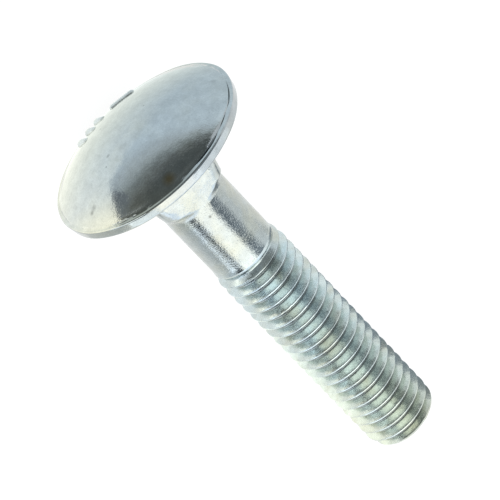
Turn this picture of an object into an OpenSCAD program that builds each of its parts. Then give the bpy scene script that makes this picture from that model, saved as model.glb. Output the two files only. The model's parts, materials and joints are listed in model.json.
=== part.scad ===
// A carriage bolt: a domed round head, a square neck that keeps it from turning in its hole,
// a plain shank, and a rolled thread. It is one forging, zinc plated, and lies on its side as
// it comes to rest: on the rim of its head and on the last crest of its thread.

/* [Thread] */
// Diameter over the crests
thread_d = 4.9; // [4.7:0.05:5.3]
// Distance from one crest to the next
pitch = 0.8; // [0.7:0.05:1.0]
// Width of the flat along a crest
crest_w = 0.2; // [0.1:0.02:0.24]
// Width of the flat along a root
root_w = 0.1; // [0.06:0.02:0.16]
// Angle between the two flanks of a groove
flank_angle = 60; // [50:1:70]
// Length from the tip to where the thread has run out
thread_length = 17.2; // [12:0.2:19]
// Length over which the thread runs out into the shank
runout = 1.45; // [0.6:0.05:2]
// Turn of the thread about the bolt's axis
thread_phase = 290; // [0:10:350]

/* [Shank and tip] */
// Length from the underside of the head to the tip
bolt_length = 25.85; // [24:0.05:60]
// Diameter of the plain shank
shank_d = 4.45; // [4.2:0.01:4.6]
// Length of the rounded lead-in at the tip
tip_length = 1.04; // [0.6:0.02:1.4]
// Diameter of the flat end
tip_d = 3.95; // [3.4:0.05:4.2]

/* [Square neck] */
// Width of the square across its flats
neck_w = 4.93; // [4.8:0.01:5.5]
// Length of the square's corners, from the underside of the head
neck_length = 2.95; // [2.9:0.05:4.1]
// Radius of the square's corners
neck_corner_r = 0.68; // [0.4:0.05:1]
// Slope of the neck's end, from the bolt's axis
neck_end_angle = 55; // [30:1:60]

/* [Head] */
// Diameter of the head
head_d = 13; // [12.4:0.1:13.6]
// Height of the head, from its underside to the top of the dome
head_h = 2.5; // [2.4:0.1:3.4]
// Height of the upright rim
rim_h = 0.6; // [0.4:0.05:0.8]
// Radius of the rim's lower edge
rim_r = 0.15; // [0.1:0.05:0.3]

/* [Head marks] */
// Height of the plain raised marks above the dome
mark_relief = 0.12; // [0.06:0.02:0.3]
// Distance of the marks from the bolt's axis
mark_reach = 4.9; // [4.2:0.1:5.2]
// Length of the single bar
bar_length = 1.7; // [1.2:0.1:2]
// Width of each mark
mark_w = 0.42; // [0.3:0.02:0.6]
// Length of each of the short dashes, along the dome's slope
dash_length = 1.2; // [1:0.1:1.8]
// Distance between the dashes
dash_gap = 0.75; // [0.6:0.05:1]
// Number of short dashes
dash_count = 3; // [2:1:4]
// Angle round the head from the middle of the neck's flat to each group of marks
mark_angle = 16; // [12:1:45]

/* [Hidden] */
$fn = 96;

// How far a hidden end reaches into the piece that it joins
lap = 0.5;
// How far the thread's core lies inside the shank, so that their faces don't coincide
skin = 0.01;
turn_steps = 36;

shank_r = shank_d / 2;
crest_r = thread_d / 2;
tip_r = tip_d / 2;
rim_edge_r = head_d / 2;
flank_w = (pitch - crest_w - root_w) / 2;
root_r = crest_r - flank_w / tan(flank_angle / 2);
thread_start = bolt_length - thread_length;

// Sphere that the dome is a cap of
dome_h = head_h - rim_h;
dome_r = (pow(rim_edge_r, 2) + pow(dome_h, 2)) / (2 * dome_h);
dome_z = dome_r - head_h;

// The thread's section over one pitch: place along the axis, and radius
section = [
    [0, root_r],
    [root_w, root_r],
    [root_w + flank_w, crest_r],
    [root_w + flank_w + crest_w, crest_r]
];
rows_per_turn = len(section);
// Turns of the core that lie hidden in the shank
hidden_turns = 2;
first_row_z = thread_start - hidden_turns * pitch;
turns = ceil((bolt_length - first_row_z) / pitch) + 1;
last_row = turns * rows_per_turn;

function row_z(row, step) =
    first_row_z + pitch * (floor(row / rows_per_turn) + step / turn_steps)
    + section[row % rows_per_turn][0];

// Share of the thread's full height at a place along the bolt: none on the shank, all past the runout
function share(z) =
    let (t = min(1, max(0, (z - thread_start) / runout)))
    t * t * (3 - 2 * t);

// Largest radius that the rounded lead-in leaves
function lead_in(z) =
    let (t = min(1, max(0, (z - bolt_length + tip_length) / tip_length)))
    crest_r - (crest_r - tip_r) * (1 - sqrt(1 - t * t));

function thread_r(row, z) =
    let (core = shank_r - skin)
    min(lead_in(z), core + share(z) * (section[row % rows_per_turn][1] - core));

function thread_point(row, step) =
    let (
        z = row_z(row, step),
        r = thread_r(row, z),
        a = thread_phase + 360 * step / turn_steps
    )
    [r * cos(a), r * sin(a), z];

// A crest's two edges on the side that lies on the ground
ground_angle = 0;
ground_step = turn_steps * (((ground_angle - thread_phase) % 360 + 360) % 360) / 360;
crest_edges = [
    for (row = [0 : last_row - 1])
    let (z = row_z(row, ground_step))
    if (section[row % rows_per_turn][1] == crest_r && z < bolt_length)
    [z, thread_r(row, z)]
];

// The bolt tips towards its thread until the first crest touches the ground
rim_ball_r = rim_edge_r - rim_r;
rest_tilt = min([
    for (edge = crest_edges)
    let (dz = edge[0] + rim_r, dr = rim_ball_r - edge[1])
    atan2(dr, dz) + asin(rim_r / norm([dz, dr]))
]);
rest_lift = rim_r + rim_ball_r * cos(rest_tilt) - rim_r * sin(rest_tilt);
rest_low_x = dome_z * cos(rest_tilt) - dome_r;
rest_high_x = bolt_length * cos(rest_tilt) + tip_r * sin(rest_tilt);

// Lays the bolt down: its axis runs along +X and slopes down to the tip
module at_rest() {
    translate([-(rest_low_x + rest_high_x) / 2, 0, rest_lift])
        rotate([0, 90 + rest_tilt, 0])
            children();
}

module rounded_square(w, r) {
    inner = w - 2 * r;
    square([w, inner], center = true);
    square([inner, w], center = true);
    for (x = [-1, 1], y = [-1, 1])
        translate([x * inner / 2, y * inner / 2])
            circle(r);
}

// The head's underside lies at zero, and the dome points down
module head() {
    rotate_extrude() {
        translate([0, -rim_h])
            square([rim_edge_r - rim_r, rim_h]);
        translate([0, -rim_h])
            square([rim_edge_r, rim_h - rim_r]);
        translate([rim_ball_r, -rim_r])
            circle(rim_r);
    }
    dome();
}

module dome() {
    intersection() {
        translate([0, 0, dome_z])
            sphere(dome_r);
        translate([0, 0, -head_h - lap])
            cylinder(h = head_h + lap - rim_h / 2, r = rim_edge_r);
    }
}

// Plain raised marks: one bar, and a row of short dashes
module head_marks() {
    intersection() {
        translate([0, 0, dome_z])
            sphere(dome_r + mark_relief);
        translate([0, 0, -head_h - lap])
            linear_extrude(head_h + lap - rim_h / 2) {
                rotate(ground_angle + mark_angle)
                    translate([mark_reach, 0])
                        square([mark_w, bar_length], center = true);
                rotate(ground_angle - mark_angle)
                    for (i = [0 : dash_count - 1])
                        translate([mark_reach, (i - (dash_count - 1) / 2) * dash_gap])
                            square([dash_length, mark_w], center = true);
            }
    }
}

// The square, cut off by a cone that leads down into the shank
module square_neck() {
    corner_reach = (neck_w / 2 - neck_corner_r) * sqrt(2) + neck_corner_r;
    hidden_r = shank_r - lap;
    cone_end = neck_length + (corner_reach - hidden_r) / tan(neck_end_angle);
    intersection() {
        translate([0, 0, -rim_h / 2])
            linear_extrude(cone_end + rim_h / 2)
                rounded_square(neck_w, neck_corner_r);
        rotate_extrude()
            polygon([
                [0, -rim_h],
                [corner_reach, -rim_h],
                [corner_reach, neck_length],
                [hidden_r, cone_end],
                [0, cone_end]
            ]);
    }
}

module shank() {
    cylinder(h = thread_start, r = shank_r);
}

module thread() {
    points = [
        for (row = [0 : last_row], step = [0 : turn_steps - 1]) thread_point(row, step),
        [0, 0, first_row_z],
        [0, 0, row_z(last_row, 0) + pitch]
    ];
    low = len(points) - 2;
    high = len(points) - 1;
    top = last_row - rows_per_turn;
    cells = [for (row = [0 : top - 1], step = [0 : turn_steps - 1]) [row, step]];
    // A full turn along a row ends on the same row one pitch further on
    function at(row, step) =
        step < turn_steps
        ? row * turn_steps + step
        : (row + rows_per_turn) * turn_steps + step - turn_steps;
    faces = [
        for (c = cells) [at(c[0], c[1]), at(c[0] + 1, c[1]), at(c[0] + 1, c[1] + 1)],
        for (c = cells) [at(c[0], c[1]), at(c[0] + 1, c[1] + 1), at(c[0], c[1] + 1)],
        for (step = [0 : turn_steps - 1]) [low, at(0, step), at(0, step + 1)],
        for (row = [0 : rows_per_turn - 1]) [low, at(row + 1, 0), at(row, 0)],
        for (step = [0 : turn_steps - 1]) [high, at(top, step + 1), at(top, step)],
        for (row = [0 : rows_per_turn - 1]) [high, at(top + row, 0), at(top + row + 1, 0)]
    ];
    intersection() {
        polyhedron(points, faces, convexity = 10);
        cylinder(h = bolt_length, r = head_d);
    }
}

module carriage_bolt() {
    color("lightsteelblue")
        at_rest()
            union() {
                head();
                head_marks();
                square_neck();
                shank();
                thread();
            }
}

carriage_bolt();
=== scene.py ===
# %% [markdown]
# # A zinc plated carriage bolt
#
# A carriage bolt is cold headed from steel wire. A die upsets one end into a shallow domed
# head and squares the metal under it, and two flat dies then roll a thread on the other end.
# Last comes bright zinc plating. This lesson rebuilds those steps: the head is pressed from
# a sphere, the stem is turned as one long screw, and both are joined into a single forging.
# Everything is modelled upright, along Z, and laid down on the floor at the end.

# %% Load the frame
import json
import math
import random

import bpy
from mathutils import Matrix, Vector, noise


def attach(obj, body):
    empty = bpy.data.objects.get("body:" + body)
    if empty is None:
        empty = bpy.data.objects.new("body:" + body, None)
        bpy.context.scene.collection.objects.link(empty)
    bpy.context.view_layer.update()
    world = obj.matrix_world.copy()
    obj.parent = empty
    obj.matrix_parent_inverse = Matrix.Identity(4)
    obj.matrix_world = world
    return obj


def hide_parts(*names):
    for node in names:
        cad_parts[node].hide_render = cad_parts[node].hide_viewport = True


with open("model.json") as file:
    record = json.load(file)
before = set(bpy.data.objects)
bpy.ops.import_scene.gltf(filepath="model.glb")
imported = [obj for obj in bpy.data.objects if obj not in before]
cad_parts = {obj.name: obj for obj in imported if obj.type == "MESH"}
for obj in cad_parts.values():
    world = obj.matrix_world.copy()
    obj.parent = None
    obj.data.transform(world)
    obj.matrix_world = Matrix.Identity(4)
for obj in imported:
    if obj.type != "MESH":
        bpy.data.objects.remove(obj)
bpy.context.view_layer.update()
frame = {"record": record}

# %% [markdown]
# ## Where the bolt lies
#
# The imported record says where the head's bearing face and the thread's end are, and which way
# the bolt points as it rests on its rim and its last crest. Those two places give the bolt's
# own axis, so no size of the rest pose is guessed here.

# %% Read the bolt's axis from the record
MM = 0.001

mounts = {mount["name"]: mount for mount in frame["record"]["mounts"]}
seat = Vector(mounts["bearing_face"]["pos_m"])
along = Vector(mounts["bearing_face"]["axis"]).normalized()
end = Vector(mounts["thread"]["pos_m"])
bolt_length = (end - seat).length

sideways = Vector((0, 1, 0))
downwards = sideways.cross(along)
lay_down = Matrix.Translation(seat) @ Matrix((downwards, sideways, along)).transposed().to_4x4()
rest_tilt = math.asin(-along.z)
print("bolt length", round(bolt_length / MM, 2), "mm")
print("rest tilt", round(math.degrees(rest_tilt), 2), "degrees")

# %% [markdown]
# ## Small helpers
#
# Operators act on whatever is selected, and loading the frame leaves its nodes selected. So
# each piece starts by clearing the selection, and modifiers are applied at once, because the
# finished piece has to be plain mesh.

# %% Helpers for selecting and for modifiers
snap = 0.0005 * MM


def select_only(piece):
    """Makes one object the active and only selected one."""
    bpy.ops.object.select_all(action="DESELECT")
    piece.select_set(True)
    bpy.context.view_layer.objects.active = piece


def start_piece(name):
    """Names the primitive that was just added, and puts its place into its mesh."""
    piece = bpy.context.active_object
    piece.name = name
    piece.data.name = name
    select_only(piece)
    bpy.ops.object.transform_apply(location=True, rotation=True, scale=True)
    return piece


def print_closed(piece):
    """Prints a piece's faces, and how many of its edges don't join exactly two of them."""
    uses = {}
    for face in piece.data.polygons:
        for edge in face.edge_keys:
            uses[edge] = uses.get(edge, 0) + 1
    open_edges = sum(count != 2 for count in uses.values())
    print(piece.name, "has", len(piece.data.polygons), "faces and", open_edges, "open edges")


def apply_modifier(piece, kind, **settings):
    """Adds a modifier with its settings and applies it."""
    select_only(piece)
    modifier = piece.modifiers.new(kind.lower(), kind)
    for setting, value in settings.items():
        setattr(modifier, setting, value)
    bpy.ops.object.modifier_apply(modifier=modifier.name)


# %% [markdown]
# ## The head
#
# The head is a cap of a sphere on a short upright rim. A sphere primitive is cut off close to
# the rim, and its open edge is then drawn down ring by ring: over a shallow crease that the
# header die leaves, round a small shoulder, down the rim, which narrows a little, and round its
# lower edge to the flat bearing face.

# %% Sizes of the head
head_radius = 6.5 * MM
head_height = 2.5 * MM
rim_height = 0.6 * MM
rim_edge = 0.15 * MM
crease_start = 6.26 * MM
crease_width = 0.1 * MM
crease_depth = 0.08 * MM
shoulder = 0.1 * MM
shoulder_drop = 0.03 * MM
shoulder_start = -80
rim_draft = 0.055 * MM
rim_step = 0.04 * MM
hidden_radius = 1.6 * MM

dome_height = head_height - rim_height
dome_radius = (head_radius**2 + dome_height**2) / (2 * dome_height)
dome_centre = dome_radius - head_height
print("dome radius", round(dome_radius / MM, 2), "mm")


def dome_place(radius, sunk=0.0):
    """A place on the dome, or sunk below it, as (radius, height)."""
    slope = math.asin(radius / dome_radius)
    depth = dome_radius - sunk
    return depth * math.sin(slope), dome_centre - depth * math.cos(slope)


# %% Draw the open edge of a shell through rings
def draw_rings(rings):
    """Extrudes the selected ring through (radius, height) places round the Z axis."""
    radius, height = rings[0]
    for next_radius, next_height in rings[1:]:
        bpy.ops.mesh.extrude_edges_move(
            TRANSFORM_OT_translate={"value": (0, 0, next_height - height)}
        )
        grow = next_radius / radius
        bpy.ops.transform.resize(value=(grow, grow, 1), center_override=(0, 0, 0))
        radius, height = next_radius, next_height


def arc(centre, radius, start, stop, steps):
    """Places on an arc in the (radius, height) plane, with angles in degrees."""
    angles = [math.radians(start + (stop - start) * step / steps) for step in range(steps + 1)]
    return [(centre[0] + radius * math.cos(a), centre[1] + radius * math.sin(a)) for a in angles]


# %% Press the head
around_head = 192
dome_rings = 240
edge_steps = 6
crease_top = dome_place(crease_start)[1]

bpy.ops.object.select_all(action="DESELECT")
bpy.ops.mesh.primitive_uv_sphere_add(
    segments=around_head, ring_count=dome_rings, radius=dome_radius, location=(0, 0, dome_centre)
)
head = start_piece("head")
bpy.ops.object.mode_set(mode="EDIT")
bpy.ops.mesh.select_all(action="SELECT")
bpy.ops.mesh.bisect(
    plane_co=(0, 0, crease_top), plane_no=(0, 0, 1), clear_outer=True, threshold=snap
)
bpy.ops.mesh.select_all(action="SELECT")
bpy.ops.mesh.region_to_loop()

crease_bottom = dome_place(crease_start + crease_width / 2, crease_depth)
crease = [
    (crease_start, crease_top),
    crease_bottom,
    dome_place(crease_start + crease_width),
]
rim_top = -rim_height + shoulder_drop
rim_bottom = -rim_edge
rim_middle = (rim_top + rim_bottom) / 2
top_radius = head_radius + rim_draft / 2
bottom_radius = head_radius - rim_draft / 2
rounded = arc((top_radius - shoulder, rim_top), shoulder, shoulder_start, 0, edge_steps)
rim = [
    (top_radius - rim_draft * 0.1, rim_top + rim_step),
    (head_radius, rim_middle),
    (bottom_radius + rim_draft * 0.1, rim_bottom - rim_step),
]
lower_edge = arc((bottom_radius - rim_edge, -rim_edge), rim_edge, 0, 90, edge_steps)
underside = [(head_radius * 0.8, 0), (head_radius * 0.6, 0), (hidden_radius, 0)]
draw_rings(crease + rounded + rim + lower_edge + underside)
bpy.ops.mesh.edge_face_add()
bpy.ops.mesh.select_all(action="SELECT")
bpy.ops.mesh.normals_make_consistent(inside=False)
bpy.ops.object.mode_set(mode="OBJECT")
print_closed(head)

# %% [markdown]
# ## The forged look of the head
#
# A real head isn't a perfect turning. The crease between dome and rim is deep in a few places
# and almost closed in others, and the rim wavers by a few hundredths of a millimetre. So the
# bottom of the crease is filled up where it isn't deep, and each point near the rim is moved in
# or out by a slow noise, which stays the same on every run.

# %% Let the rim waver
rim_waver = 0.035 * MM
crease_waver = 0.07 * MM
crease_wander = 0.08 * MM
least_crease = 0.08

# Where the crease is deep: turn round the head in degrees, spread, and share of the full depth
deep_places = [(120, 13, 0.85), (140, 9, 0.35), (159, 12, 1.0), (188, 26, 0.15), (320, 60, 0.4)]


def slow_noise(place, per_mm, seed):
    """A smooth value from about -1 to 1 that repeats on every run."""
    return noise.noise(place / MM * per_mm + Vector((seed, -seed, seed / 2)))


def ease(start, stop, place):
    """Rises smoothly from 0 at start to 1 at stop."""
    share = min(1, max(0, (place - start) / (stop - start)))
    return share * share * (3 - 2 * share)


def crease_share(place):
    """How deep the crease is, as a share of its full depth."""
    turn = math.degrees(math.atan2(place.y, place.x)) % 360
    shares = [
        most * (1 - ((turn - middle) / spread) ** 2) for middle, spread, most in deep_places
    ]
    return max(least_crease, *shares)


moved = 0
for vertex in head.data.vertices:
    radius = vertex.co.xy.length
    if radius > crease_start - 3 * crease_width:
        move = rim_waver * slow_noise(vertex.co, per_mm=0.45, seed=3)
        near_crease = abs(radius - crease_start - crease_width / 2) < crease_width
        if near_crease and abs(vertex.co.z - crease_bottom[1]) < snap:
            filled = 1 - crease_share(vertex.co)
            vertex.co.z -= filled * crease_depth
            move += crease_waver * slow_noise(vertex.co, per_mm=1.1, seed=8)
        if near_crease:
            move += crease_wander * slow_noise(vertex.co, per_mm=0.35, seed=12)
        vertex.co.xy *= (radius + move) / radius
        moved += 1
print("points moved near the rim", moved)

# %% [markdown]
# ## Raised marks
#
# Header dies stamp raised marks into the far side of the dome. This bolt gets plain ones: a
# bar, and a row of dashes. Each is a block with soft edges that is sunk into the dome. It leans
# a little more than the dome does, so its inner end runs out into the dome, and its outer end
# stands out as a low step.

# %% Add the raised marks
mark_relief = 0.14 * MM
mark_tilt = math.radians(7)
mark_reach = 4.75 * MM
mark_thickness = 0.7 * MM
mark_edge = 0.27 * MM
mark_width = 0.6 * MM
bar_length = 1.9 * MM
dash_length = 1.5 * MM
dash_gap = 0.85 * MM
dash_count = 3
mark_angle = math.radians(16)


def add_mark(name, turn, aside, length, width):
    """Adds one soft block on the dome: length runs down the dome's slope, width across it."""
    bpy.ops.object.select_all(action="DESELECT")
    bpy.ops.mesh.primitive_cube_add(size=1)
    mark = bpy.context.active_object
    reach = math.hypot(mark_reach, aside)
    slope = math.asin(reach / dome_radius)
    lift = dome_radius + mark_relief - mark_thickness / 2
    centre = Vector((mark_reach, aside, dome_centre - lift * math.cos(slope)))
    centre.xy *= lift * math.sin(slope) / reach
    mark.matrix_world = (
        Matrix.Rotation(turn, 4, "Z")
        @ Matrix.Translation(centre)
        @ Matrix.Rotation(mark_tilt - math.asin(mark_reach / dome_radius), 4, "Y")
        @ Matrix.Rotation(-math.asin(aside / dome_radius), 4, "X")
        @ Matrix.Diagonal((length, width, mark_thickness, 1))
    )
    mark = start_piece(name)
    apply_modifier(mark, "BEVEL", width=mark_edge, segments=6, limit_method="ANGLE")
    return mark


marks = [add_mark("mark_bar", mark_angle, 0, mark_width, bar_length)]
for index in range(dash_count):
    aside = (index - (dash_count - 1) / 2) * dash_gap
    name = f"mark_dash_{index}"
    marks.append(add_mark(name, -mark_angle, aside, dash_length, mark_width))
for mark in marks:
    apply_modifier(head, "BOOLEAN", operation="UNION", solver="EXACT", object=mark)
    bpy.data.objects.remove(mark)
print_closed(head)

# %% [markdown]
# ## The stem
#
# Rolling dies press grooves into the bar and push the metal up between them, which leaves wide
# rounded roots and narrow crests with soft edges. One pitch of that outline is drawn point by
# point, and the screw modifier winds it along the whole stem. Where the stem is plain or
# square, the same rows of points are moved to that shape, so the thread can run out into the
# shank without a joint.

# %% Sizes of the thread
pitch = 0.8 * MM
crest_radius = 2.45 * MM
half_angle = math.radians(30)
crest_flat = pitch / 8
crest_round = 0.04 * MM
root_round = 0.144 * pitch
flank_support = 0.05
groove_depth = (pitch - crest_flat) / 2 / math.tan(half_angle) - root_round
root_radius = crest_radius - groove_depth
thread_length = 17.2 * MM
thread_start = bolt_length - thread_length
runout = 1.45 * MM
thread_phase = math.radians(290)
lead_in_length = 1.04 * MM
tip_radius = 1.975 * MM
hidden_start = -0.3 * MM

around_stem = 144


# %% Draw one pitch of the outline
def draw_outline(name, points):
    """Draws a chain of (radius, height) points, each extruded from the last."""
    bpy.ops.object.select_all(action="DESELECT")
    bpy.ops.mesh.primitive_plane_add(size=pitch)
    outline = bpy.context.active_object
    outline.name = name
    bpy.ops.object.mode_set(mode="EDIT")
    bpy.ops.mesh.select_all(action="SELECT")
    bpy.ops.mesh.merge(type="CENTER")
    place = Vector(points[0])
    bpy.ops.transform.translate(value=(place.x, 0, place.y))
    for point in points[1:]:
        step = Vector(point) - place
        bpy.ops.mesh.extrude_region_move(TRANSFORM_OT_translate={"value": (step.x, 0, step.y)})
        place = Vector(point)
    bpy.ops.object.mode_set(mode="OBJECT")
    return outline


def root_half():
    """Half of the rounded root, from its middle to the flank: (radius, distance along)."""
    turns = [math.radians(angle) for angle in (12, 36, 60)]
    return [(root_radius + root_round * (1 - math.cos(a)), root_round * math.sin(a)) for a in turns]


def crest_half():
    """Half of the crest, from the flank to its flat: (radius, distance along)."""
    flat = crest_flat / 2 - crest_round * math.tan(half_angle)
    turns = [math.radians(angle) for angle in (60, 30, 0)]
    return [
        (crest_radius - crest_round * (1 - math.cos(a)), flat + crest_round * math.sin(a))
        for a in turns
    ]


crest_middle = pitch / 2
rise = root_half() + [(radius, crest_middle - aside) for radius, aside in crest_half()]
foot, top = Vector(rise[2]), Vector(rise[3])
rise[3:3] = [tuple(foot.lerp(top, share)) for share in (flank_support, 1 - flank_support)]
one_pitch = rise + [(radius, pitch - height) for radius, height in reversed(rise)]
one_pitch.append((rise[0][0], rise[0][1] + pitch))
print("points in one pitch", len(one_pitch))

# %% Wind the outline along the stem
turns_before = math.ceil((thread_start - hidden_start) / pitch) + 1
turns = turns_before + math.ceil(thread_length / pitch) + 1
first_turn = thread_start - turns_before * pitch

stem = draw_outline("stem", [(radius, first_turn + height) for radius, height in one_pitch])
stem.rotation_euler.z = thread_phase
select_only(stem)
bpy.ops.object.transform_apply(location=True, rotation=True, scale=True)
apply_modifier(
    stem,
    "SCREW",
    axis="Z",
    screw_offset=pitch,
    iterations=turns,
    steps=around_stem,
    render_steps=around_stem,
)
select_only(stem)
bpy.ops.object.mode_set(mode="EDIT")
bpy.ops.mesh.select_all(action="SELECT")
bpy.ops.mesh.remove_doubles(threshold=snap)
bpy.ops.object.mode_set(mode="OBJECT")
print("stem points", len(stem.data.vertices))

# %% [markdown]
# ## Square neck, shank and run-out
#
# The header die forces the metal under the head into a square with rounded corners. It fills
# its corners less and less away from the head, and a cone leads down from the corners to the
# shank. All of these are rules for the distance from the axis, blended softly into each other.

# %% Sizes of the neck and shank
neck_width = 4.93 * MM
neck_corner = 0.68 * MM
corner_growth = 0.25 * MM
neck_length = 2.95 * MM
neck_end_slope = math.tan(math.radians(55))
flat_runout_start = 1.9 * MM
flat_runout_end = 3.9 * MM
neck_edge_softness = 0.08 * MM
neck_foot_softness = 0.45 * MM
shank_radius = 2.225 * MM


def soft_min(a, b, softness):
    """The smaller of two lengths, rounded where they cross."""
    share = max(softness - abs(a - b), 0) / softness
    return min(a, b) - share * share * softness / 4


def soft_max(a, b, softness):
    """The larger of two lengths, rounded where they cross."""
    return -soft_min(-a, -b, softness)


def square_radius(turn, half_width, corner):
    """Distance from the axis to the side of the rounded square."""
    from_flat = (turn + math.pi / 4) % (math.pi / 2) - math.pi / 4
    inner = half_width - corner
    if abs(math.tan(from_flat)) * half_width <= inner:
        return half_width / math.cos(from_flat)
    from_diagonal = math.pi / 4 - abs(from_flat)
    corner_centre = inner * math.sqrt(2)
    return corner_centre * math.cos(from_diagonal) + math.sqrt(
        corner**2 - (corner_centre * math.sin(from_diagonal)) ** 2
    )


def plain_radius(turn, height):
    """The forged blank before its thread is rolled: square neck, cone and round shank."""
    filling = min(1, max(0, height / neck_length))
    corner = neck_corner + corner_growth * filling**2
    corner_reach = (neck_width / 2 - neck_corner) * math.sqrt(2) + neck_corner
    cone = corner_reach - (height - neck_length) * neck_end_slope
    foot = soft_max(cone, shank_radius, neck_foot_softness)
    lean = (neck_width / 2 - shank_radius) * ease(flat_runout_start, flat_runout_end, height)
    side = square_radius(turn, neck_width / 2 - lean, corner)
    side += neck_edge_softness * ease(flat_runout_end, flat_runout_end + pitch, height)
    return soft_min(side, foot, neck_edge_softness)


# %% [markdown]
# ## Nicks and wear
#
# Loose bolts knock against each other in plating barrels and boxes, so the thin crests get
# small nicks, and their height wavers. The nicks lie at chance places on the crest, drawn
# from a fixed seed. One burr stands on a corner of the neck, where the header die closed.

# %% Place the nicks
chance = random.Random(7)
nick_count = 46
crest_waver = 0.022 * MM
nicks = []
for _ in range(nick_count):
    turn = chance.uniform(0, 2 * math.pi)
    wind = chance.randrange(1, round(thread_length / pitch))
    crest_height = thread_start + crest_middle
    height = crest_height + pitch * (wind + (turn - thread_phase) / (2 * math.pi))
    size = chance.uniform(0.06, 0.15) * MM
    depth = size * chance.uniform(0.2, 0.4)
    place = Vector((crest_radius * math.cos(turn), crest_radius * math.sin(turn), height))
    nicks.append((place, size, depth))
print("nicks", len(nicks), "deepest", round(max(nick[2] for nick in nicks) / MM, 3), "mm")


def nick_depth(place):
    """How far the nicks near a place push the surface in."""
    depth = 0
    for centre, size, most in nicks:
        if abs(centre.z - place.z) < size:
            share = 1 - (centre - place).length_squared / size**2
            depth = max(depth, most * max(0, share) ** 1.5)
    return depth


# %% Shape the stem
def lead_in_radius(height):
    """The largest radius that the rounded lead-in leaves near the tip."""
    share = min(1, max(0, (height - bolt_length + lead_in_length) / lead_in_length))
    return crest_radius - (crest_radius - tip_radius) * (1 - math.sqrt(1 - share * share))


burr_place = Vector((-1.8, 2.5, 3.2)) * MM
burr_size = 0.2 * MM
burr_height = 0.14 * MM


def shape_stem(place):
    """Moves one point of the wound outline to the finished stem's surface."""
    wound = place.xy.length
    turn = math.atan2(place.y, place.x)
    blank = plain_radius(turn, place.z)
    on_blank = Vector((blank * math.cos(turn), blank * math.sin(turn), place.z))
    blank += burr_height * max(0, 1 - (on_blank - burr_place).length / burr_size)
    rolled = ease(thread_start, thread_start + runout, place.z)
    radius = blank + (wound - blank) * rolled
    if rolled > 0 and wound > root_radius + groove_depth / 2:
        rise = (wound - root_radius) / groove_depth
        waver = 0.5 + 0.5 * slow_noise(place, per_mm=1.3, seed=5)
        radius -= crest_waver * rise * waver * rolled
        radius -= nick_depth(place) * rise * rolled
    if place.z > bolt_length - lead_in_length:
        radius = min(radius, lead_in_radius(place.z))
    place.xy *= radius / wound


for vertex in stem.data.vertices:
    shape_stem(vertex.co)

select_only(stem)
bpy.ops.object.mode_set(mode="EDIT")
bpy.ops.mesh.select_all(action="SELECT")
bpy.ops.mesh.bisect(
    plane_co=(0, 0, hidden_start),
    plane_no=(0, 0, 1),
    use_fill=True,
    clear_inner=True,
    threshold=snap,
)
bpy.ops.mesh.select_all(action="SELECT")
bpy.ops.mesh.bisect(
    plane_co=(0, 0, bolt_length),
    plane_no=(0, 0, 1),
    use_fill=True,
    clear_outer=True,
    threshold=snap,
)
bpy.ops.mesh.select_all(action="SELECT")
bpy.ops.mesh.normals_make_consistent(inside=False)
bpy.ops.object.mode_set(mode="OBJECT")
print_closed(stem)

# %% [markdown]
# ## One forging
#
# Head and stem are one piece of steel, so they are united and the hidden faces between them
# go. The bolt is then laid down on its rim and its last crest, and its place is put into its
# mesh.

# %% Unite the head and the stem, and lay the bolt down
smooth_angle = math.radians(42)

apply_modifier(head, "BOOLEAN", operation="UNION", solver="EXACT", object=stem)
bpy.data.objects.remove(stem)
bolt = head
bolt.name = "plated_bolt"
bolt.data.name = "plated_bolt"
bolt.matrix_world = lay_down
select_only(bolt)
bpy.ops.object.transform_apply(location=True, rotation=True, scale=True)
bpy.ops.object.shade_smooth_by_angle(angle=smooth_angle)
print_closed(bolt)

# %% [markdown]
# ## Materials: one helper and one colour function
#
# Colours are given as the hex values that a picture editor shows, and one function turns them
# into the linear values that the renderer needs. One more function adds any node, sets it and
# links it. A node that is given as an input's value is linked by its first output.

# %% Helpers for colour and nodes
def colour(hex_value, alpha=1.0):
    """Turns an sRGB hex colour such as B8BCBE into linear values."""
    parts = [int(hex_value[i : i + 2], 16) / 255 for i in (0, 2, 4)]
    linear = [p / 12.92 if p <= 0.04045 else ((p + 0.055) / 1.055) ** 2.4 for p in parts]
    return (*linear, alpha)


def add_node(tree, kind, inputs=(), **settings):
    """Adds one node, sets it, and gives each input a value or a link."""
    node = tree.nodes.new("ShaderNode" + kind)
    for setting, value in settings.items():
        setattr(node, setting, value)
    pairs = inputs.items() if isinstance(inputs, dict) else enumerate(inputs)
    for socket, value in pairs:
        if isinstance(value, bpy.types.Node):
            value = value.outputs[0]
        if isinstance(value, bpy.types.NodeSocket):
            tree.links.new(value, node.inputs[socket])
        else:
            node.inputs[socket].default_value = value
    return node


def set_ramp(node, stops):
    """Gives a colour ramp its stops: a place from 0 to 1, and a colour."""
    elements = node.color_ramp.elements
    elements[0].position, elements[0].color = stops[0]
    elements[1].position, elements[1].color = stops[-1]
    for position, value in stops[1:-1]:
        elements.new(position).color = value


def new_material(name):
    """A material with an empty node tree."""
    material = bpy.data.materials.new(name)
    material.use_nodes = True
    material.node_tree.nodes.clear()
    return material


# %% [markdown]
# ## Bright zinc plating
#
# Barrel plating leaves zinc a hundredth of a millimetre thick. It is a soft white metal with a
# fine grain: the big forms mirror the studio, and the grain breaks the edge of each reflection
# into specks. A clear passivation turns it slightly blue, and yellow where it is thicker.
# Every pattern is in millimetres, measured from the bearing face along the bolt's own axis.
# A Map Range node takes a value, the two ends of its range, and the two ends of the new range.
# A Mix node's two colours are its inputs 6 and 7, and its mixed colour is output 2.

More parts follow.
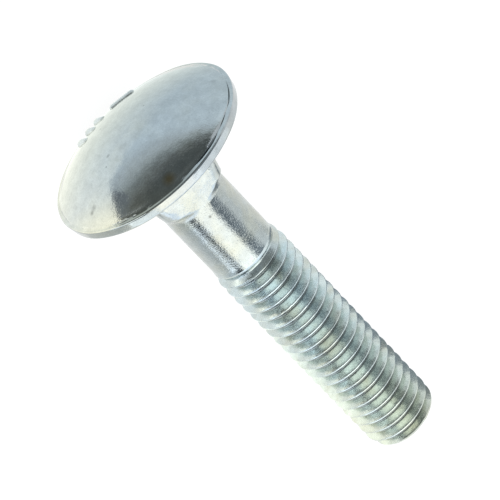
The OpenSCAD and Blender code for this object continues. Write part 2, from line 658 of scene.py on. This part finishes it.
# %% Zinc plating: a place on the bolt in millimetres
plating = new_material("bright_zinc_plating")
zinc = plating.node_tree
on_axis = add_node(
    zinc,
    "Mapping",
    {
        "Vector": add_node(zinc, "TexCoord").outputs["Object"],
        "Location": seat,
        "Rotation": lay_down.to_euler(),
        "Scale": (MM, MM, MM),
    },
    vector_type="TEXTURE",
)
downwards_mm, sideways_mm, height_mm = add_node(zinc, "SeparateXYZ", [on_axis]).outputs
head_middle = (0, 0, dome_centre / MM)
from_middle = add_node(zinc, "VectorMath", [on_axis, head_middle], operation="DISTANCE")
from_middle = from_middle.outputs["Value"]
off_axis = add_node(zinc, "VectorMath", [on_axis, (1, 1, 0)], operation="MULTIPLY")
radius_mm = add_node(zinc, "VectorMath", [off_axis], operation="LENGTH").outputs["Value"]

# Shares from 0 to 1: on the head, on the thread, and along the whole bolt
on_head = add_node(zinc, "MapRange", [height_mm, 0.3, -0.3, 0, 1])
on_thread = add_node(zinc, "MapRange", [height_mm, 8.6, 9.6, 0, 1])
along_bolt = add_node(zinc, "MapRange", [height_mm, -2, 26, 0, 1])

# Waves to a millimetre, detail and roughness of each noise
noises = [(0.45, 3, 0.6), (1.6, 4, 0.65), (9, 3, 0.6), (1.3, 2, 0.5)]
cloud, streak, grain, dimples = [
    add_node(
        zinc,
        "TexNoise",
        {"Vector": on_axis, "Scale": per_mm, "Detail": detail, "Roughness": rough},
    )
    for per_mm, detail, rough in noises
]
print("finest noise", round(1 / max(wave[0] for wave in noises), 2), "mm")

# %% Zinc plating: its tint
# Blue on the head, grey on the shank, slightly yellow towards the tip
clear_tint = add_node(zinc, "ValToRGB", [along_bolt])
set_ramp(
    clear_tint,
    [
        (0.0, colour("AAB2B6")),
        (0.064, colour("ACB3B5")),
        (0.086, colour("B2B8B6")),
        (0.364, colour("B2BAB8")),
        (0.429, colour("CBD9DB")),
        (0.7, colour("CDD9D6")),
        (1.0, colour("D2D9CD")),
    ],
)

# Cream on two sides of the head, partly thicker passivation and partly a painted sheen of the
# warm lit floor mirrored there; and soft cream patches where the passivation is thicker
far_edge_sheen = add_node(zinc, "MapRange", [downwards_mm, -0.6, 4.2, 0, 0.8])
corner_mm = add_node(zinc, "Math", [downwards_mm, sideways_mm], operation="ADD")
low_corner_sheen = add_node(zinc, "MapRange", [corner_mm, -6.2, -8.8, 0, 0.6])
cream_side_sheen = add_node(zinc, "Math", [far_edge_sheen, low_corner_sheen], operation="MAXIMUM")
head_cream_sheen = add_node(zinc, "Math", [cream_side_sheen, on_head], operation="MULTIPLY")
patches = add_node(zinc, "MapRange", [cloud, 0.46, 0.72, 0, 0.7])
fewer_on_head = add_node(zinc, "MapRange", [on_head, 0, 1, 1, 0.25])
patchy = add_node(zinc, "Math", [patches, fewer_on_head], operation="MULTIPLY")
cream_tint_and_sheen = add_node(zinc, "Math", [head_cream_sheen, patchy], operation="MAXIMUM")
tint = add_node(zinc, "Mix", {0: cream_tint_and_sheen, 6: clear_tint, 7: colour("BCBDAC")}, data_type="RGBA")

# One brown water stain on the dome
stain = (-5.69, -0.65, -1.05)
from_stain = add_node(zinc, "VectorMath", [on_axis, stain], operation="DISTANCE")
stain_share = add_node(zinc, "MapRange", [from_stain.outputs["Value"], 0.1, 0.55, 0.7, 0])
stained = add_node(
    zinc,
    "Mix",
    {0: stain_share, 6: tint.outputs[2], 7: colour("A08C5A")},
    data_type="RGBA",
)

# Painted light: the sides of the raised marks are painted pale
dome_mm = dome_radius / MM
side_start = add_node(zinc, "MapRange", [from_middle, dome_mm, dome_mm + 0.02, 0, 1])
side_stop = add_node(zinc, "MapRange", [from_middle, dome_mm + 0.14, dome_mm + 0.22, 1, 0.3])
mark_side = add_node(zinc, "Math", [side_start, side_stop], operation="MULTIPLY")
above_rim = add_node(zinc, "MapRange", [height_mm, -0.75, -0.85, 0, 1])
on_mark = add_node(zinc, "Math", [mark_side, above_rim], operation="MULTIPLY")
painted_light_on_marks = add_node(
    zinc,
    "Mix",
    {0: on_mark, 6: stained.outputs[2], 7: colour("D2D7D7")},
    data_type="RGBA",
)

# %% Zinc plating: painted shade and dark marks
# Small marks on the dome and the shank: place on the bolt, size, and how dark
scuffs = [
    ((-2.14, -4.75, -1.33), 0.26, 0.72),
    ((-2.15, -5.02, -1.2), 0.2, 0.62),
    ((-0.34, -5.4, -1.22), 0.2, 0.85),
    ((-0.74, -1.95, -2.32), 0.18, 0.7),
    ((-1.31, 5.54, -1.07), 0.25, 0.86),
    ((-2.21, -0.2, 4.6), 0.14, 0.5),
]

# Painted shade in the crease between dome and rim, and in the roots of the thread
sunk = add_node(zinc, "MapRange", [from_middle, dome_mm - 0.06, dome_mm - 0.02, 0.3, 1])
off_dome = add_node(zinc, "MapRange", [height_mm, -0.62, -0.59, 0, 1])
crease_painted_shade = add_node(zinc, "Math", [sunk, off_dome], operation="MAXIMUM")
root_mm = root_radius / MM
deep = add_node(zinc, "MapRange", [radius_mm, root_mm + 0.01, root_mm + 0.1, 0.5, 1])
off_thread = add_node(zinc, "MapRange", [height_mm, 9.6, 9.2, 0, 1])
root_painted_shade = add_node(zinc, "Math", [deep, off_thread], operation="MAXIMUM")

# Mottle, grain, a few pits and the scuffs
mottle = add_node(zinc, "MapRange", [streak, 0.3, 0.7, 0.9, 1.1])
specks = add_node(zinc, "MapRange", [grain, 0.3, 0.7, 0.92, 1.08])
pit_places = add_node(zinc, "TexVoronoi", {"Vector": on_axis, "Scale": 0.55, "Randomness": 1})
pits = add_node(zinc, "MapRange", [pit_places, 0.02, 0.05, 0.55, 1])
dark_places = [root_painted_shade, mottle, specks, pits]
for spot, size, darkness in scuffs:
    from_spot = add_node(zinc, "VectorMath", [on_axis, spot], operation="DISTANCE")
    scuff = [from_spot.outputs["Value"], 0.3 * size, size, darkness, 1]
    dark_places.append(add_node(zinc, "MapRange", scuff))
# The painted shade of crease and roots, times the real mottle, grain, pits and scuffs
shade_and_wear = crease_painted_shade
for dark_place in dark_places:
    shade_and_wear = add_node(zinc, "Math", [shade_and_wear, dark_place], operation="MULTIPLY")
shaded = add_node(
    zinc,
    "Mix",
    {0: 1, 6: painted_light_on_marks.outputs[2], 7: shade_and_wear},
    data_type="RGBA",
    blend_type="MULTIPLY",
)
print("dark places:", len(dark_places) + 1)

# %% Zinc plating: its surface
# The head is the smoothest part, and the rolled thread the dullest
smooth_part = add_node(zinc, "MapRange", [on_thread, 0, 1, 0.08, 0.24])
rough_part = add_node(zinc, "MapRange", [on_head, 0, 1, 0.36, 0.17])
grainy = add_node(zinc, "MapRange", [grain, 0.5, 0.64, smooth_part, rough_part])
dull_mark = add_node(zinc, "Math", [on_mark, 0.6], operation="MULTIPLY")
roughness = add_node(zinc, "Math", [grainy, dull_mark], operation="MAXIMUM")

dimple_depth = add_node(zinc, "MapRange", [on_thread, 0, 1, 0.3, 1])
low_bump = add_node(
    zinc,
    "Bump",
    {"Height": dimples, "Strength": dimple_depth, "Distance": 0.035 * MM},
)
grain_depth = add_node(zinc, "ValToRGB", [along_bolt])
set_ramp(
    grain_depth,
    [
        (0.034, (0.3, 0.3, 0.3, 1)),
        (0.16, (0.45, 0.45, 0.45, 1)),
        (0.2, (1, 1, 1, 1)),
        (0.377, (1, 1, 1, 1)),
        (0.407, (0.3, 0.3, 0.3, 1)),
    ],
)
fine_bump = add_node(
    zinc,
    "Bump",
    {"Height": grain, "Strength": grain_depth, "Distance": 0.012 * MM, "Normal": low_bump},
)
metal = add_node(
    zinc,
    "BsdfPrincipled",
    {
        "Base Color": shaded.outputs[2],
        "Metallic": 1,
        "Roughness": roughness,
        "Normal": fine_bump,
    },
)
add_node(zinc, "OutputMaterial", {"Surface": metal})
print("nodes in the plating:", len(zinc.nodes))

# %% Give the bolt its plating and its place in the model
bolt.data.materials.clear()
bolt.data.materials.append(plating)
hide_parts("carriage_bolt")
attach(bolt, "root")

# %% [markdown]
# ## Studio
#
# Polished metal is seen mostly by what it mirrors. A long soft light hangs over the bolt, and
# cards stand round it. Grey and dark flags draw the dark bands along the dome and the shank,
# and pale cards light the rim beside them. A dark wall and a painted shadow of the head on a
# floor card make the dark patch on the dome, and a painted pool of light beside the shadow makes
# its pale edge. Another painted pool of light lies beside the thread. The cards are stage
# pieces that only reflections see.

# %% Floor and world
floor_size = 4


def is_seen_directly(tree):
    """1 for camera, mirrored and transmitted rays, and 0 for the rays that light other things."""
    path = add_node(tree, "LightPath")
    seen = path.outputs["Is Camera Ray"]
    for other in ("Is Glossy Ray", "Is Transmission Ray"):
        seen = add_node(tree, "Math", [seen, path.outputs[other]], operation="MAXIMUM")
    return seen


def floor_finish():
    """White paper that stays white in the picture and still takes a soft shadow."""
    material = new_material("white_paper")
    tree = material.node_tree
    paper = add_node(tree, "BsdfDiffuse", {"Color": colour("8A8A8A")})
    glow = add_node(tree, "Emission", {"Color": (1, 1, 1, 1), "Strength": 0.84})
    both = add_node(tree, "AddShader", [paper, glow])
    plain = add_node(tree, "BsdfDiffuse", {"Color": colour("E8E8E8")})
    choice = add_node(tree, "MixShader", [is_seen_directly(tree), plain, both])
    add_node(tree, "OutputMaterial", {"Surface": choice})
    return material


bpy.ops.object.select_all(action="DESELECT")
bpy.ops.mesh.primitive_plane_add(size=floor_size)
floor = start_piece("floor")
floor.data.materials.append(floor_finish())

world = bpy.data.worlds.new("studio")
bpy.context.scene.world = world
world.use_nodes = True
sky = world.node_tree
sky.nodes.clear()
room = add_node(sky, "Background", {"Color": colour("F2F6FA"), "Strength": 1})
behind = add_node(sky, "Background", {"Color": (1, 1, 1, 1), "Strength": 1})
seen_sky = add_node(sky, "MixShader", [add_node(sky, "LightPath"), room, behind])
add_node(sky, "OutputWorld", {"Surface": seen_sky})

# %% Cards that only reflections see
def card_finish(name, hex_value, strength):
    """A card of one even brightness."""
    material = new_material(name)
    tree = material.node_tree
    light = add_node(tree, "Emission", {"Color": colour(hex_value), "Strength": strength})
    add_node(tree, "OutputMaterial", {"Surface": light})
    return material


def fading_card(name, strength, start, stop, stops):
    """A card that fades along a line from start to stop (mm), through (share, hex colour) stops."""
    material = new_material(name)
    tree = material.node_tree
    way = Vector(stop) - Vector(start)
    turned = add_node(
        tree,
        "Mapping",
        {
            "Vector": add_node(tree, "TexCoord").outputs["Object"],
            "Location": Vector((*start, 0)) * MM,
            "Rotation": (0, 0, math.atan2(way.y, way.x)),
            "Scale": Vector((1, 1, 1)) * way.length * MM,
        },
        vector_type="TEXTURE",
    )
    fade = add_node(tree, "TexGradient", {"Vector": turned}, gradient_type="LINEAR")
    ramp = add_node(tree, "ValToRGB", [fade.outputs["Fac"]])
    set_ramp(ramp, [(share, colour(hex_value)) for share, hex_value in stops])
    light = add_node(tree, "Emission", {"Color": ramp, "Strength": strength})
    add_node(tree, "OutputMaterial", {"Surface": light})
    return material


def add_card(name, corners, finish):
    """Adds a flat card through its corners, seen by mirrored rays alone."""
    mesh = bpy.data.meshes.new(name)
    mesh.from_pydata([tuple(corner) for corner in corners], [], [list(range(len(corners)))])
    card = bpy.data.objects.new(name, mesh)
    bpy.context.collection.objects.link(card)
    card.data.materials.append(finish)
    card.visible_camera = False
    card.visible_diffuse = False
    card.visible_shadow = False
    card.visible_transmission = False


# %% [markdown]
# ## Cards over and beside the bolt
#
# An angle here is a turn round the bolt's axis, from straight up: the camera sees the shank
# mirror each direction at one place across its width, so a card's edge sets a band's edge.

# %% Overhead and upright cards
light_height = 0.3
light_near = 0.12
light_far = 0.62
ceiling_end = -0.6
right_angle = 47
left_angle = -60

flag_grey = card_finish("grey_flag", "88929E", 1.0)
ceiling_dark = card_finish("dim_ceiling", "8E9498", 1.0)
wall_dark = card_finish("dark_wall", "656A69", 1.05)
side_light = card_finish("side_light", "EAF2FF", 1.8)
rim_glow = card_finish("rim_glow", "F4F7FA", 1.5)
near_glow = card_finish("near_glow", "F4F7FA", 2.1)
window_light = card_finish("window", "E6F0FF", 1.7)


def overhead(degrees):
    """Where a direction round the bolt's axis meets the height of the light."""
    return -light_height * math.tan(math.radians(degrees))


def add_level(name, outline, finish):
    """Adds a card at the light's height; its (x, y) outline is in metres."""
    add_card(name, [(x, y, light_height) for x, y in outline], finish)


def add_upright(name, start, stop, height, finish):
    """Adds an upright card over a line on the floor."""
    add_card(name, [(*start, 0), (*stop, 0), (*stop, height), (*start, height)], finish)


flag_outline = [
    (light_near, 0.089),
    (0.325, 0.089),
    (0.35, 0.215),
    (0.385, 0.445),
    (light_near, 0.445),
]
ceiling_outline = [
    (ceiling_end, overhead(right_angle)),
    (light_near, overhead(right_angle)),
    (light_near, overhead(left_angle)),
    (ceiling_end, overhead(left_angle)),
]
near_outline = [(0.33, 0.07), (0.62, 0.07), (0.62, 0.15), (0.34, 0.15)]
rim_outline = [
    (0.34, 0.15),
    (0.62, 0.15),
    (0.62, 0.5),
    (0.5, 0.48),
    (0.39, 0.445),
    (0.355, 0.215),
]
side_near = (-0.2, overhead(right_angle))
side_far = (light_far, overhead(right_angle))

add_level("right_flag", flag_outline, flag_grey)
add_level("dim_ceiling", ceiling_outline, ceiling_dark)
add_upright("side_light", side_near, side_far, light_height, side_light)
add_level("near_light", near_outline, near_glow)
add_level("rim_light", rim_outline, rim_glow)
add_upright("rim_screen", (0.6, 0.21), (0.6, 0.8), 0.29, rim_glow)
add_upright("dark_wall", (-0.4, 0.2), (-0.4, -0.33), 0.3, wall_dark)
add_upright("window", (0.5, 0.2), (0.5, -0.25), 0.28, window_light)

# %% Small cards close to the shank and the rim
beside_y = -50

flag_dark = card_finish("dark_flag", "4A5058", 1.0)
ceiling_pale = card_finish("pale_card", "D4DCE4", 1.0)
shank_glow = card_finish("shank_glow", "EAF2FF", 2.6)


def add_beside(name, outline, finish):
    """Adds a small upright card beside the bolt; its (x, z) outline is in millimetres."""
    add_card(name, [(x * MM, beside_y * MM, z * MM) for x, z in outline], finish)


add_beside("shank_flag", [(0, 53), (47, 53), (39, 36), (31, 23), (0, 23)], flag_dark)
add_beside("shank_fill", [(24, 23), (31, 23), (28, 12), (24, 12)], shank_glow)
add_beside("shank_shade", [(24, 12), (28, 12), (26, 2), (24, 2)], ceiling_pale)
add_beside("rim_shade", [(0, 23), (24, 23), (24, 2), (0, 2)], ceiling_pale)

# %% Finishes of the cards on the floor
# Painted shadow of the head on the floor, fading from pale to dark away from the bolt
head_shadow_stops = [
    (0.0, "E4F0F7"),
    (0.073, "D0D8DB"),
    (0.138, "C0C7C7"),
    (0.185, "B6BDBD"),
    (0.22, "9BA1A0"),
    (0.275, "939998"),
    (0.367, "8B908F"),
    (0.64, "7A7D7A"),
    (1.0, "6D706E"),
]
floor_light_stops = [(0, "B9C3C8"), (0.53, "DDE1DE"), (1, "FDFAF0")]
light_strip_stops = [(0, "FFFFF8"), (1, "E6E6E0")]
shade_stops = [(0, "8E98A4"), (1, "C4CCD4")]
far_stops = [(0, "F4F7FA"), (1, "DCE2E8")]

# Painted shadow of the head on the floor, and a darker band along its edge
painted_head_shadow = fading_card("painted_head_shadow", 1.2, (-14, -14), (-91, -92), head_shadow_stops)
shadow_band_finish = card_finish("painted_shadow_band", "8E959C", 1.0)
# Painted pool of light on the floor beside the head's shadow
floor_light_finish = fading_card("painted_floor_light", 1.8, (-18.45, 6.6), (-12.15, -10.3), floor_light_stops)
# Painted pool of light on the floor beside the thread
painted_light_patch = fading_card("painted_light_patch", 1.5, (0, -2), (0, -14), light_strip_stops)
thread_shade = fading_card("thread_shade", 1.0, (0, 3), (0, 35), shade_stops)
far_paper = fading_card("far_paper", 1.0, (0, -11.5), (0, -40), far_stops)

# %% Cards on the floor
floor_lift = 0.2 * MM


def add_floor_card(name, outline, finish, lift=floor_lift):
    """Adds a card that lies just above the floor; its outline is in millimetres."""
    add_card(name, [(x * MM, y * MM, lift) for x, y in outline], finish)


# Where the painted shadow of the head and the painted pool of light beside it meet
head_shadow_edge = [(-22, 8), (-27, -4), (-27.5, -8), (-31, -10.5), (-56, -31), (-400, -330)]
head_shadow_outline = [*reversed(head_shadow_edge[:4]), (-22, 60), (-400, 300), (-400, -330), (-56, -31)]
floor_light_outline = [(-13, 40), (-22, 40), *head_shadow_edge, (-400, -400), (-20, -400), (-13, -9)]
shadow_band_outline = [(-31, -10.5), (-38, -11.5), (-50, -15.5), (-75, -25), (-80, -38), (-56, -31)]
light_strip_outline = [(2, -3), (13, -3), (13, -14), (2, -14)]
shade_outline = [(-0.5, 2.5), (15, 2.5), (26, 30), (26, 38), (16, 38), (9, 22), (3, 12), (0.5, 6)]
far_outline = [(-12, -11.5), (3, -11.5), (7, -17), (60, -105), (170, -320), (-12, -320)]
# Painted shadow of the head, and its darker band
add_floor_card("painted_head_shadow", head_shadow_outline, painted_head_shadow)
add_floor_card("painted_shadow_band", shadow_band_outline, shadow_band_finish, 1.5 * floor_lift)
# Painted pool of light beside the head's shadow
add_floor_card("painted_floor_light", floor_light_outline, floor_light_finish)
# Painted pool of light beside the thread
add_floor_card("painted_light_strip", light_strip_outline, painted_light_patch)
add_floor_card("thread_shade", shade_outline, thread_shade)
add_floor_card("far_paper", far_outline, far_paper)

# %% The long soft light
light_start, light_stop = overhead(46), overhead(-13)
brightness = 1.1

light = bpy.data.lights.new("soft_light", "AREA")
light.shape = "RECTANGLE"
light.size = light_far - light_near
light.size_y = light_stop - light_start
light.energy = brightness * math.pi * light.size * light.size_y
light.color = colour("FFF8EF")[:3]
lamp = bpy.data.objects.new("soft_light", light)
lamp.location = ((light_near + light_far) / 2, (light_start + light_stop) / 2, light_height)
bpy.context.collection.objects.link(lamp)
print("soft light", round(light.size, 2), "by", round(light.size_y, 2), "metres")

# %% [markdown]
# ## Camera
#
# The photograph looks steeply down past the head, with a long lens from about a quarter of a
# metre. Its frame is turned so that the bolt runs from the upper left to the lower right.

# %% Camera
camera_distance = 230.04 * MM
camera_aim = Vector((-1.933, 0.361, 3.972)) * MM
camera_turn = math.radians(9.732)
camera_down = math.radians(68.568)
camera_roll = math.radians(125.09)
lens_mm = 274.1
film_mm = 36

view_direction = Vector(
    (
        math.cos(camera_turn) * math.cos(camera_down),
        math.sin(camera_turn) * math.cos(camera_down),
        -math.sin(camera_down),
    )
)
lens = bpy.data.cameras.new("camera")
lens.lens = lens_mm
lens.sensor_width = film_mm
lens.clip_start = 0.01
lens.clip_end = 10
camera = bpy.data.objects.new("camera", lens)
upright = view_direction.to_track_quat("-Z", "Y")
roll = Matrix.Rotation(camera_roll, 4, "Z").to_quaternion()
camera.rotation_mode = "QUATERNION"
camera.rotation_quaternion = upright @ roll
camera.location = camera_aim - view_direction * camera_distance
bpy.context.collection.objects.link(camera)
bpy.context.scene.camera = camera
bpy.context.scene.view_settings.view_transform = "Standard"
